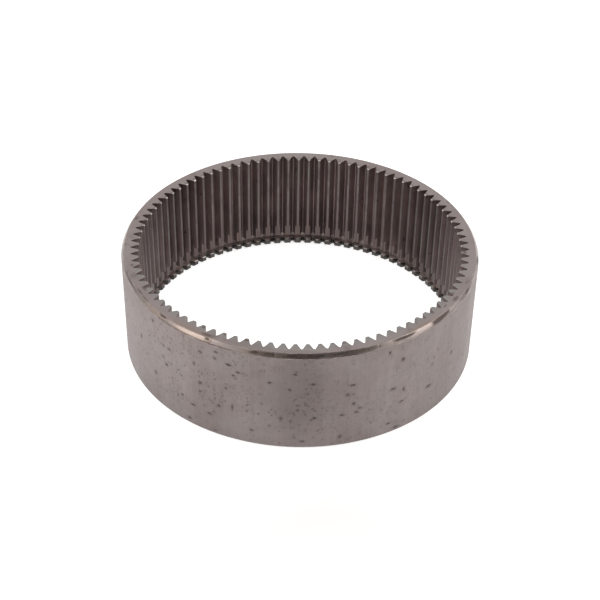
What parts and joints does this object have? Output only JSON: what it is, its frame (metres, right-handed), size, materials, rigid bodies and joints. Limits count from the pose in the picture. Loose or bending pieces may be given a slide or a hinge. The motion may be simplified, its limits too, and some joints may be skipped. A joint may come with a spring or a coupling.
{
  "type": "internal ring gear",
  "caption": "Steel ring with straight internal teeth, a bored carrier seat and a snap-ring groove at its lower end, for a planetary hub reduction.",
  "frame": {"origin": "on the ring's axis, in the plane of the lower end face, the one beside the snap-ring groove", "axes": "+Z along the ring's axis, from the snap-ring end up to the planet gears' end; +X through the middle of a tooth space"},
  "size_m": [0.247, 0.247, 0.078],
  "materials": {
    "machined_steel": "turned and ground steel, satin, warm grey, with dark pits, oil stains and darkened tooth flanks"
  },
  "bodies": {
    "root": {"ring_gear": "machined_steel"}
  },
  "joints": []
}
